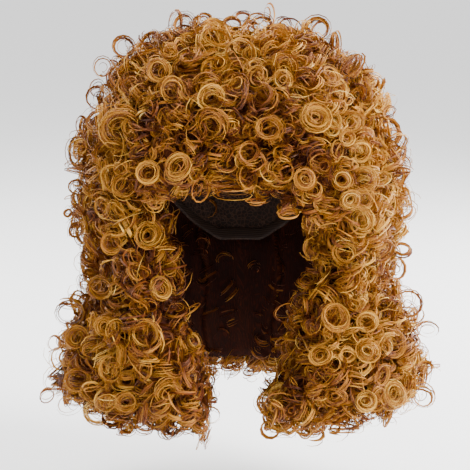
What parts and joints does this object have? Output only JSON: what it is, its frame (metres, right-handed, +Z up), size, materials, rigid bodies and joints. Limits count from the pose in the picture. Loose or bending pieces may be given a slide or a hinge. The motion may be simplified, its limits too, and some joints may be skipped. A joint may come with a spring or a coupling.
{
  "type": "curly costume wig",
  "caption": "Shoulder-length wig of tight corkscrew curls in golden ginger, with a curly parted fringe, on a stretch net cap with an elastic edge band.",
  "frame": {"origin": "top of the cap's inside, where it rests on the crown of the head", "axes": "+Z up, the face opening looks along -Y, +X towards the wearer's left"},
  "size_m": [0.3461, 0.2713, 0.3633],
  "materials": {
    "cap_net": "dark brown stretch net, matte",
    "elastic": "dark brown woven elastic, matte",
    "crown_hair": "ginger synthetic hair, tight curls, soft sheen",
    "fringe_hair": "golden ginger synthetic hair, fine curls, soft sheen",
    "front_hair": "golden ginger synthetic hair, tight curls, soft sheen",
    "side_hair": "golden ginger synthetic hair, tight curls, soft sheen",
    "back_hair": "ginger synthetic hair, tight curls, soft sheen"
  },
  "bodies": {
    "root": {"cap": "cap_net", "edge_band": "elastic", "crown_locks": "crown_hair", "fringe_locks_right": "fringe_hair", "fringe_locks_left": "fringe_hair", "front_locks_right": "front_hair", "front_locks_left": "front_hair", "side_locks_right": "side_hair", "side_locks_left": "side_hair", "back_locks_right": "back_hair", "back_locks_middle": "back_hair", "back_locks_left": "back_hair"}
  },
  "joints": []
}
